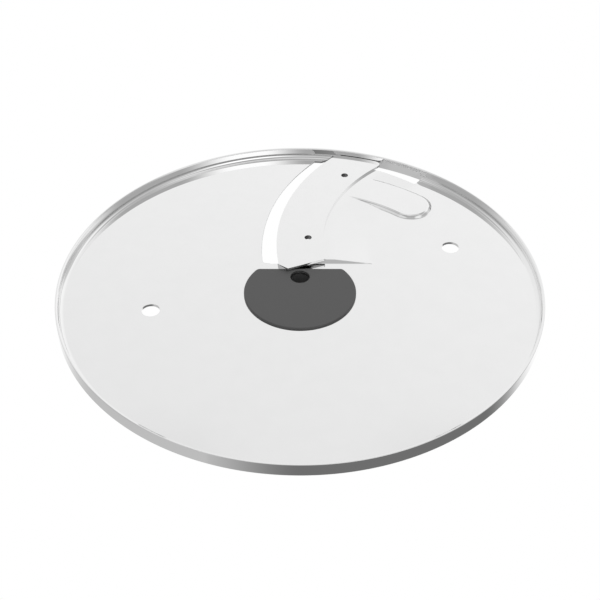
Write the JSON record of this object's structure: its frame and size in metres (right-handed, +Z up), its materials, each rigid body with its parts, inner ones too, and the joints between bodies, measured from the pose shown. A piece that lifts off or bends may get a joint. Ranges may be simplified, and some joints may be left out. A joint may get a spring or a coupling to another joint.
{
  "type": "food processor disc",
  "caption": "Round stamped steel slicing disc with a turned-up rim, a curved blade over a slot and a D-shaped plastic drive hub that sits on the machine's stem.",
  "frame": {"origin": "on the disc's axis, at the foot of the hub that the disc stands on", "axes": "+Z up along the axis, from the hub's foot to the slicing side; +Y from the axis towards the blade's middle; +X to the right of the blade, seen from above"},
  "size_m": [0.187, 0.187, 0.016],
  "materials": {
    "stamped_steel": "mirror-polished stainless sheet, stamped",
    "blade_steel": "polished hardened stainless strip with a ground edge",
    "hub_plastic": "moulded dark grey plastic with a fine matt grain"
  },
  "bodies": {
    "root": {"disc_plate": "stamped_steel", "slicing_blade": "blade_steel", "drive_hub": "hub_plastic"}
  },
  "joints": []
}
